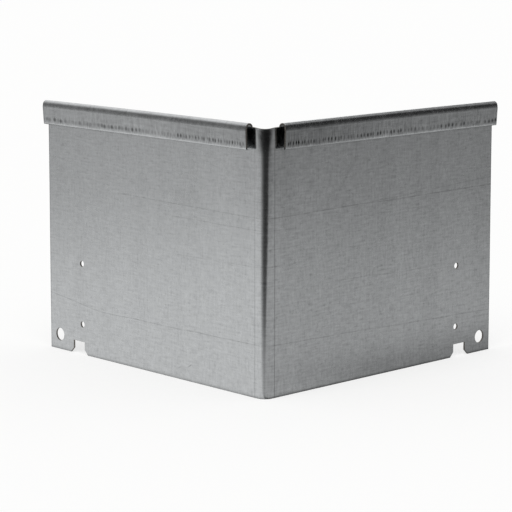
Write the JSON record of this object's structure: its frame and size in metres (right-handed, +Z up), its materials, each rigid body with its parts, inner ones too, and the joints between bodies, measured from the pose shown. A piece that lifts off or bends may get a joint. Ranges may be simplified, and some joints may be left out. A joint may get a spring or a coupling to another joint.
{
  "type": "roof edge trim inside corner",
  "caption": "Inside corner of a roof edge trim: one galvanised sheet bent square, with a rolled hem along the top of each wing, fixing holes and a notch in the bottom edge near each free end.",
  "frame": {"origin": "foot of the outer corner: where the planes of the two outer faces meet the plane of the bottom edge", "axes": "+Z up; one wing runs along +X with its outer face on y = 0, the other runs along +Y with its outer face on x = 0; the hems stand out towards -Y and -X"},
  "size_m": [0.2609, 0.2609, 0.205],
  "materials": {
    "galvanised_sheet": "galvanised mill finish, satin, with faint rolling lines"
  },
  "bodies": {
    "root": {"folded_sheet": "galvanised_sheet"}
  },
  "joints": []
}
